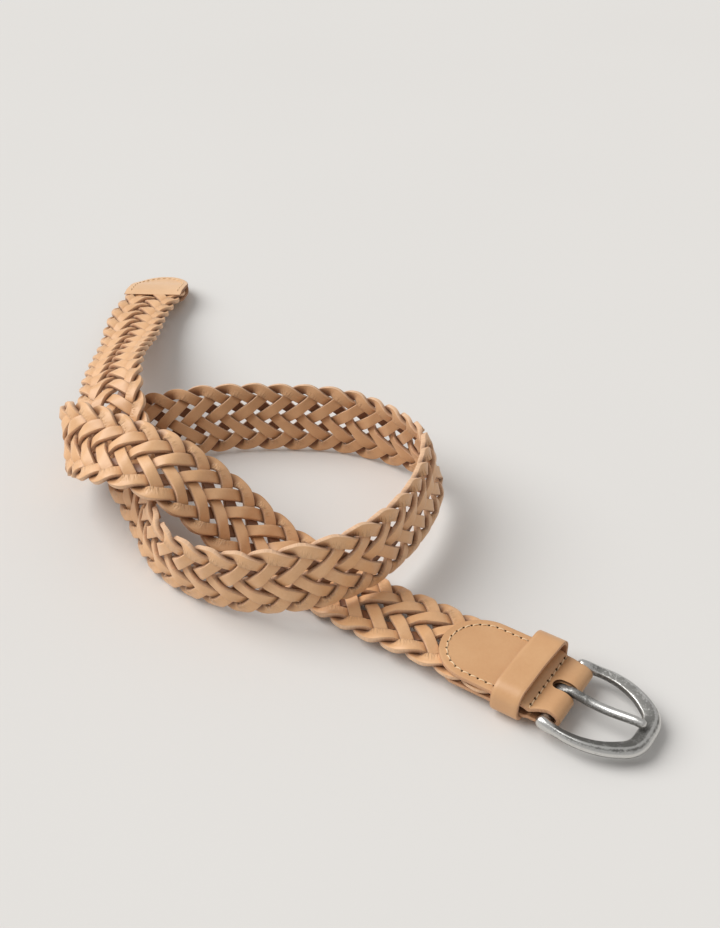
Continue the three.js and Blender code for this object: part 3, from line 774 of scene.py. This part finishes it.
def stitch(start, end, outward, slant):
    """One stitch: a short twisted thread that dives into the leather at both holes."""
    f = np.linspace(0, 1, STITCH_STEPS)
    reach = unit(end - start) * STITCH_CLEAR
    start, end = start + reach, end - reach
    aside = unit(np.cross(outward, end - start))
    rise = np.interp(f, *STITCH_ARCH)
    lean = slant * (f - 0.5)
    middle = start + (end - start) * f[:, None] + outward * rise[:, None] + aside * lean[:, None]
    along = unit(np.gradient(middle, axis=0))
    across = unit(np.cross(outward, along))
    upward = np.cross(along, across)
    turns = around(THREAD_SIDES)
    rings = []
    for i in range(STITCH_STEPS):
        ply = np.cos(THREAD_PLIES * (turns - f[i] * THREAD_TWIST))
        radius = THREAD_RADIUS * (1 + PLY_DEPTH * ply)
        rings.append(middle[i] + across[i] * (radius * np.cos(turns))[:, None]
                     + upward[i] * (radius * np.sin(turns))[:, None])
    return np.vstack(rings), loft_faces(STITCH_STEPS, THREAD_SIDES)


def make_stitches(name, holes, outwards, slant, replaced):
    """A row of stitches from hole to hole, as one piece."""
    parts = [stitch(holes[k], holes[k + 1], outwards[k], slant) for k in range(len(holes) - 1)]
    points, faces = join_parts(parts)
    piece = make_piece(name, points, faces, "strap", THREAD, smooth_angle=80)
    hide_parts(replaced)


def make_chape_leather():
    profile = chape_profile()
    section = leather_section(1.0, LEATHER, END_CORNER, END_LANES)
    tangent = unit(np.gradient(profile, axis=0))
    normal = np.stack([-tangent[:, 1], tangent[:, 0]], 1)
    across = strip_across(section, chape_half(profile))
    x, z = off_curve(profile, normal, section[:, 1][None, :])
    points = np.stack([x, -across, STRAP_Z + z], -1)
    attributes = strip_attributes(section, lengths_along(profile), across)
    faces = loft_faces(len(profile), len(section))
    piece = make_piece("chape_leather", points, faces, "strap", END_LEATHER, attributes)
    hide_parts("chape")
    return piece


def slot_outline():
    """The prong's slot from above: round behind the bar, and open through the fold in front of it."""
    turns = np.radians(np.linspace(90, 270, SLOT_POINTS))
    middle = SLOT_HALF - SLOT_REACH
    outline = [(middle + SLOT_HALF * math.cos(turn), SLOT_HALF * math.sin(turn)) for turn in turns]
    return outline + [(SLOT_FRONT, -SLOT_HALF), (SLOT_FRONT, SLOT_HALF)]


def stitch_chape(row, face, side, places, rise, slant):
    """A row of stitches through places on the chape's upper (1) or lower (-1) face."""
    holes = np.array([(x, y, STRAP_Z + side * rise) for x, y in places])
    outwards = np.tile((0.0, 0.0, side), (len(holes), 1))
    make_stitches(f"{row}_stitches_{face}", holes, outwards, slant, f"{row}_thread_{face}")


def make_chape():
    """The chape: leather folded round the bar, with its slot, its punched holes and two rows of stitches."""
    piece = make_chape_leather()
    outline = [(-x, y) for x, y in outline_points(CHAPE_LENGTH, CHAPE_HALF, CHAPE_NOSE, OUTLINE_START)]
    cross = [(-CROSS_STITCH_AT, (k - (CROSS_HOLES - 1) / 2) * CROSS_PITCH) for k in range(CROSS_HOLES)]
    parts = [prism(slot_outline(), STRAP_Z - SLOT_RISE, STRAP_Z + SLOT_RISE)]
    holes = [(x, y, OUTLINE_HOLE) for x, y in outline] + [(x, y, CROSS_HOLE) for x, y in cross]
    for side in (1, -1):
        low, high = sorted(STRAP_Z + side * depth for depth in HOLE_DEPTHS)
        parts += [prism(hole_outline(x, y, radius), low, high) for x, y, radius in holes]
    cut(piece, parts)
    face_rise = LAYER_MIDDLE + LEATHER / 2
    reach = CHAPE_ROW_HALF - CROSS_MARGIN
    row = [(-CROSS_STITCH_AT, -reach)] + cross + [(-CROSS_STITCH_AT, reach)]
    for face, side in (("top", 1), ("bottom", -1)):
        stitch_chape("chape", face, side, outline, face_rise, OUTLINE_SLANT)
        stitch_chape("cross", face, side, row, face_rise - PINCH, CROSS_SLANT)


SKIVED = 0.75                     # the part of the tip's thickness pared away at its straight edge
SKIVE_LENGTH = 5 * MM
TIP_GAP = 0.02 * MM               # half the gap left between the two layers where they meet
TIP_ROW_SPACING = 1.2 * MM
TIP_OUTLINE_START = 3 * MM


def tip_height(distance):
    """The middle of the tip's upper layer: over the braid, then down to meet the lower layer."""
    closing = smooth_step((distance - TIP_COVER) / (TIP_CLOSED - TIP_COVER))
    return LAYER_MIDDLE + (LEATHER / 2 + TIP_GAP - LAYER_MIDDLE) * closing


def make_tip():
    """The tip: two rounded layers round the braid's end, pared thin at their straight edge."""
    straight = np.arange(0, TIP_LENGTH - TIP_NOSE, TIP_ROW_SPACING)
    rows = np.concatenate([straight, nose_rows(TIP_LENGTH, TIP_NOSE)])
    section = leather_section(1.0, LEATHER, END_CORNER, END_LANES)
    across = strip_across(section, nose_half(rows, TIP_LENGTH, TIP_HALF, TIP_NOSE))
    inner_face = tip_height(rows)[:, None] - LEATHER / 2
    pared = 1 - SKIVED * (1 - smooth_step(rows / SKIVE_LENGTH))[:, None]
    height = inner_face + (section[:, 1][None, :] + LEATHER / 2) * pared
    base = BELT_LENGTH - TIP_LENGTH
    outline = outline_points(TIP_LENGTH, TIP_HALF, TIP_NOSE, TIP_OUTLINE_START)
    for name, side in (("top", 1), ("bottom", -1)):
        points = on_belt((base + rows)[:, None] * np.ones_like(across), side * across, side * height)
        attributes = strip_attributes(section, rows, across)
        faces = loft_faces(len(rows), len(section))
        piece = make_piece(f"tip_leather_{name}", points, faces, "strap",
                           TIP_LEATHER_LIT_AND_SHADED, attributes)
        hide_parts(f"tip_{name}")
        level = side * (tip_height(outline[:, 0]) + LEATHER / 2)
        holes = on_belt(base + outline[:, 0], outline[:, 1], level)
        outward = unit(on_belt(base + outline[:, 0], outline[:, 1], level + side * MM) - holes)
        make_stitches(f"tip_stitches_{name}", holes, outward, OUTLINE_SLANT, f"tip_thread_{name}")


KEEPER_WIDTH = 10.7 * MM
KEEPER_AT = 13.2 * MM             # distance behind the bar
KEEPER_LEATHER = 1.6 * MM
KEEPER_HALF = 16.9 * MM           # to the middle of the keeper's side walls
# Radii of its near lower, far lower, far upper and near upper corners.
KEEPER_CORNERS = (3.4 * MM, 2.6 * MM, 5.8 * MM, 5 * MM)
KEEPER_RISE = 1.5 * MM            # its underside slopes up by this much towards the near side
KEEPER_LEAN = 2.4 * MM            # its top slopes down by this much towards the near side
KEEPER_SKEW = 2 * MM              # it sits askew, with its far side this much nearer the buckle
KEEPER_CORNER = 0.4 * MM
KEEPER_LANES = 9
KEEPER_SPACING = 0.8 * MM         # of its rows
KEEPER_WAVE = 0.12 * MM           # how unevenly its edges run
WAVE_STEP = 0.21                  # radians of that wave for each row


def keeper_line(height):
    """The keeper's middle line round the strap, as y and z, up to the given height."""
    low, high = KEEPER_LEATHER / 2, height - KEEPER_LEATHER / 2
    corners = [(-KEEPER_HALF, low + KEEPER_RISE, 180), (KEEPER_HALF, low, 270), (KEEPER_HALF, high, 0),
               (-KEEPER_HALF, high - KEEPER_LEAN, 90)]
    points = []
    for (y, z, start), radius in zip(corners, KEEPER_CORNERS):
        centre_y = y - radius if y > 0 else y + radius
        centre_z = z + radius if start >= 180 else z - radius
        for angle in np.radians(np.linspace(start, start + 90, 9)):
            points.append((centre_y + radius * math.cos(angle), centre_z + radius * math.sin(angle)))
    points.append(points[0])
    points = np.array(points)
    knots = lengths_along(points)
    return columns_at(np.arange(0, knots[-1], KEEPER_SPACING), knots, points)


def make_keeper():
    """The keeper: a closed leather loop, as high as the CAD one."""
    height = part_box("keeper")[1][2]
    line = keeper_line(height)
    tangent = unit(np.roll(line, -1, 0) - np.roll(line, 1, 0))
    normal = np.stack([tangent[:, 1], -tangent[:, 0]], 1)
    section = leather_section(KEEPER_WIDTH / 2, KEEPER_LEATHER, KEEPER_CORNER, KEEPER_LANES)
    u, v = section[:, 0][None, :], section[:, 1][None, :]
    wave = KEEPER_WAVE * np.sin(np.arange(len(line)) * WAVE_STEP)[:, None]
    askew = KEEPER_SKEW * line[:, :1] / (2 * KEEPER_HALF)
    y, z = off_curve(line, normal, v)
    points = np.stack([-KEEPER_AT + u + wave + askew, y, z], -1)
    attributes = strip_attributes(section, lengths_along(line), np.repeat(u, len(line), 0))
    faces = loft_faces(len(line), len(section), closed=True)
    piece = make_piece("keeper_leather", points, faces, "keeper", END_LEATHER, attributes)
    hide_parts("keeper")


# The buckle.
FRAME_HALF = 15.9 * MM            # to the frame's middle line at the knobs
FRAME_FLARE = 1.5 * MM            # how far its arms flare out in front of them
FLARE_REACH = 0.85                # part of the frame's length over which they do
FRAME_LENGTH = 31 * MM
FRAME_DROP = 1.2 * MM             # how far its front bar hangs below the bar
FRAME_BOW = 0.8                   # powers that square off the horseshoe's curve
FRAME_SPREAD = 0.62
FRAME_ROWS = 110
ARM_WIDTH = 3 * MM
FRONT_WIDTH = 6.4 * MM
ARM_THICKNESS = 3 * MM
FRONT_THICKNESS = 4.2 * MM
FRONT_ONSET = 1.2                 # how late along the arms they swell towards the front bar
KNOB_RADIUS = 2.5 * MM
KNOB_HALF = 2.2 * MM
KNOB_ANGLES = np.radians(np.linspace(88, 8, 9))   # rows round a knob's back
NECK = 7 * MM                     # the length over which a knob becomes an arm
# The cast frame's section: across from its inner wall to its outer one, and up, each from -1 to 1.
FRAME_SECTION = [(-0.97, -0.7), (-1.0, -0.1), (-0.95, 0.32), (-0.78, 0.5), (-0.2, 0.78), (0.3, 0.98),
                 (0.5, 0.96), (0.66, 0.72), (0.9, 0.3), (1.0, -0.1), (0.98, -0.6), (0.8, -0.92), (0.3, -1.0),
                 (-0.5, -1.0), (-0.85, -0.94)]


def closed_curve(points, per_span):
    """Samples a Catmull-Rom curve through the points and back to the first."""
    points = np.array(points + points[:3])
    spans = np.repeat(np.arange(len(points) - 3), per_span)
    u = np.tile(np.arange(per_span) / per_span, len(points) - 3)[:, None]
    return catmull_rom(*(points[spans + k] for k in range(4)), u)


def frame_line():
    """The frame's middle line in plan and height, from one knob's back round the front bar to the other."""
    angle = np.linspace(-0.5, 0.5, 401) * math.pi
    bow = np.abs(np.cos(angle)) ** FRAME_BOW
    flare = FRAME_FLARE * np.sin(np.minimum(bow / FLARE_REACH, 1) * math.pi)
    wide = (FRAME_HALF * np.abs(np.sin(angle)) ** FRAME_SPREAD + flare) * np.sign(np.sin(angle))
    line = np.stack([FRAME_LENGTH * bow, wide, STRAP_Z - FRAME_DROP * bow**2], 1)
    knots = lengths_along(line)
    return columns_at(np.linspace(0, knots[-1], FRAME_ROWS), knots, line)


def frame_burnish_and_reflection(section):
    """How bright the frame is made round its section: burnished on its crest, with painted reflection on its
    outer slope and its inner edge.
    """
    across, up = section.T
    crest = np.exp(-((across - 0.42) / 0.16) ** 2) * (up > 0.6)
    slope = 0.9 * smooth_step((across - 0.6) / 0.25) * (up > -0.6)
    inner_edge = 0.6 * np.exp(-((across + 0.92) / 0.1) ** 2) * (up > 0.2)
    return np.clip(crest + slope + inner_edge, 0, 1)


def make_frame():
    """The cast horseshoe: a crested bar, thickest at the front, that ends in a round knob on each side."""
    line = frame_line()
    back = np.sin(KNOB_ANGLES)[:, None] * (-KNOB_RADIUS, 0, 0)
    line = np.vstack([line[0] + back, line, line[-1] + back[::-1]])
    along = np.gradient(line, axis=0)
    along[:, 2] = 0
    along = unit(along)
    across = np.stack([along[:, 1], -along[:, 0], np.zeros(len(line))], 1)
    cast = closed_curve(FRAME_SECTION, 3)
    turns = np.arctan2(cast[:, 1], cast[:, 0])
    round_section = np.stack([np.cos(turns), np.sin(turns)], 1)
    x = line[:, 0]
    front = np.clip(x / FRAME_LENGTH, 0, 1) ** FRONT_ONSET
    knob = 1 - smooth_step(x / NECK)
    half = ARM_WIDTH / 2 + (FRONT_WIDTH - ARM_WIDTH) / 2 * front
    half = half * (1 - knob) + KNOB_HALF * knob
    high = ARM_THICKNESS / 2 + (FRONT_THICKNESS - ARM_THICKNESS) / 2 * front
    high = high * (1 - knob) + KNOB_RADIUS * knob
    closing = np.sqrt(np.clip(1 - (np.minimum(x, 0) / KNOB_RADIUS) ** 2, 0, 1))
    shape = round_section[None] * knob[:, None, None] + cast[None] * (1 - knob)[:, None, None]
    out, up = shape[..., 0] * (half * closing)[:, None], shape[..., 1] * (high * closing)[:, None]
    points = line[:, None, :] + across[:, None, :] * out[..., None] + np.array([0, 0, 1]) * up[..., None]
    # Burnish on the crest and painted reflection on the outer slope and inner edge; the knobs are burnished
    # all over.
    burnish_and_highlight = frame_burnish_and_reflection(cast)[None, :] * (1 - knob)[:, None] + knob[:, None]
    faces = loft_faces(len(line), len(cast))
    piece = make_piece("buckle_horseshoe", points, faces, "buckle", METAL,
                       {"burnish_and_highlight": burnish_and_highlight}, smooth_angle=70)
    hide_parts("buckle_frame")


PRONG_RADIUS = 1.7 * MM
EYE_MIDDLE = 2.62 * MM            # radius of the eye's middle line round the bar
EYE_HALF = 0.6 * MM               # half the thickness of the eye's metal
EYE_ANGLES = np.radians(np.arange(-40, -271, -23))
PRONG_SHANK = [(2.2 * MM, 2.7 * MM), (5 * MM, 2.3 * MM), (11 * MM, 1.5 * MM), (17 * MM, 1.5 * MM),
               (23 * MM, 2.2 * MM), (27 * MM, 2.6 * MM), (30.4 * MM, 2.3 * MM)]
SHANK_START = -0.5 * MM           # where the eye's thin metal starts to swell into the shank
SHANK_SWELL = 4.5 * MM            # and over what length
PRONG_END = 1.1 * MM              # length of its rounded end
PRONG_TAPER = (0.1, 9 * MM)       # the part of its width it loses, and over what length
PRONG_BURNISH_AND_HIGHLIGHT = (0.2, 9 * MM, 6 * MM)   # burnish and painted highlight on the eye, where more of it starts, and over what length
PRONG_SIDES = 20


def make_prong():
    """A cast prong: its eye wraps the bar from below, and its shank runs in a slight S to the front bar."""
    eye = [(EYE_MIDDLE * math.cos(a), EYE_MIDDLE * math.sin(a)) for a in EYE_ANGLES]
    line = curve_through(eye + PRONG_SHANK, 6)
    tangent = unit(np.gradient(line, axis=0))
    knots = lengths_along(line)
    on_shank = smooth_step((line[:, 0] - SHANK_START) / SHANK_SWELL) * (line[:, 1] > 0)
    to_end = knots[-1] - knots
    closing = np.sqrt(np.clip(1 - (1 - np.minimum(to_end / PRONG_END, 1)) ** 2, 0.02, 1))
    thick = (EYE_HALF + (PRONG_RADIUS - EYE_HALF) * on_shank) * closing
    taper, taper_length = PRONG_TAPER
    wide = PRONG_RADIUS * (1 - taper * smooth_step(1 - to_end / taper_length)) * closing
    turns = around(PRONG_SIDES)
    normal = np.stack([-tangent[:, 1], tangent[:, 0]], 1)
    x, z = off_curve(line, normal, thick[:, None] * np.sin(turns)[None, :])
    points = np.stack([x, -wide[:, None] * np.cos(turns)[None, :], STRAP_Z + z], -1)
    # Burnish and painted highlight on the prong's upper side, growing towards its end.
    least, burnish_highlight_start, burnish_highlight_length = PRONG_BURNISH_AND_HIGHLIGHT
    burnish_highlight_along = least + (1 - least) * smooth_step((line[:, 0] - burnish_highlight_start) / burnish_highlight_length)
    burnish_and_highlight = burnish_highlight_along[:, None] * np.clip(np.sin(turns), 0, 1)[None, :]
    faces = loft_faces(len(line), PRONG_SIDES)
    piece = make_piece("buckle_prong", points, faces, "prong", METAL,
                       {"burnish_and_highlight": burnish_and_highlight}, smooth_angle=70)
    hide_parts("prong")


BAR_RADIUS = 1.9 * MM
BAR_HALF = 15.8 * MM
BAR_ROWS = 12
BAR_SIDES = 24
BAR_WEAR = 0.4


def make_bar():
    """The bar between the knobs, with its ends let into them."""
    turns = around(BAR_SIDES)
    y = np.linspace(-BAR_HALF, BAR_HALF, BAR_ROWS)
    x, z = (np.ones((BAR_ROWS, 1)) * BAR_RADIUS * wave(turns)[None, :] for wave in (np.cos, np.sin))
    points = np.stack([x, np.ones_like(x) * y[:, None], STRAP_Z + z], -1)
    burnish_and_highlight = np.full(BAR_ROWS * BAR_SIDES, BAR_WEAR)
    faces = loft_faces(BAR_ROWS, BAR_SIDES)
    piece = make_piece("buckle_rod", points, faces, "buckle", METAL, {"burnish_and_highlight": burnish_and_highlight})
    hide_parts("buckle_bar")


for strand in range(STRANDS):
    make_strand(strand, BRAID_LEATHER)
make_chape()
make_tip()
make_keeper()
make_frame()
make_prong()
make_bar()


# The studio: a plain pale floor, broad soft light from the camera's left, light all round, and the camera.
FLOOR_SIZE = 6.0
SUN_PLACE = (-1.0, -0.42, 1.15)   # only its direction counts
SUN_STRENGTH = 2.45
SUN_SPREAD = 50                   # degrees
SUN_COLOUR = (1.0, 0.995, 0.985)
SKY_COLOUR = (1.0, 0.99, 0.98, 1)
SKY_STRENGTH = 0.46
CAMERA_PLACE = np.array([0.0989, -0.2735, 0.3097])
CAMERA_TARGET = np.array([-0.1405, 0.0815, 0])
CAMERA_LENS = 45.14
CAMERA_SENSOR = 36


def make_floor():
    shader = Shader("floor_pale")
    mottle = shader.noise(shader.place(), 3, 2)
    colour = shader.mix(mottle, linear(223, 221, 218), linear(227, 225, 222))
    material = shader.finish(Base_Color=colour, Roughness=0.9, Specular_IOR_Level=0.1)
    half = FLOOR_SIZE / 2
    corners = [(-half, -half, 0), (half, -half, 0), (half, half, 0), (-half, half, 0)]
    floor = add_object("floor", new_mesh("floor", corners, [(0, 1, 2, 3)], material))


def aim(thing, target):
    direction = Vector(target) - thing.location
    thing.rotation_euler = direction.to_track_quat("-Z", "Y").to_euler()


def make_sun():
    data = bpy.data.lights.new("window", "SUN")
    data.energy = SUN_STRENGTH
    data.color = SUN_COLOUR
    data.angle = math.radians(SUN_SPREAD)
    lamp = add_object("window", data)
    lamp.location = SUN_PLACE
    aim(lamp, (0, 0, 0))


def make_sky():
    world = bpy.data.worlds.new("studio")
    world.use_nodes = True
    background = world.node_tree.nodes["Background"]
    background.inputs["Color"].default_value = SKY_COLOUR
    background.inputs["Strength"].default_value = SKY_STRENGTH
    bpy.context.scene.world = world


def make_camera():
    data = bpy.data.cameras.new("camera")
    data.lens = CAMERA_LENS
    data.sensor_width = CAMERA_SENSOR
    camera = add_object("camera", data)
    camera.location = CAMERA_PLACE + PLACE
    aim(camera, CAMERA_TARGET + PLACE)
    bpy.context.scene.camera = camera


make_floor()
make_sun()
make_sky()
make_camera()
bpy.context.scene.view_settings.view_transform = "Standard"
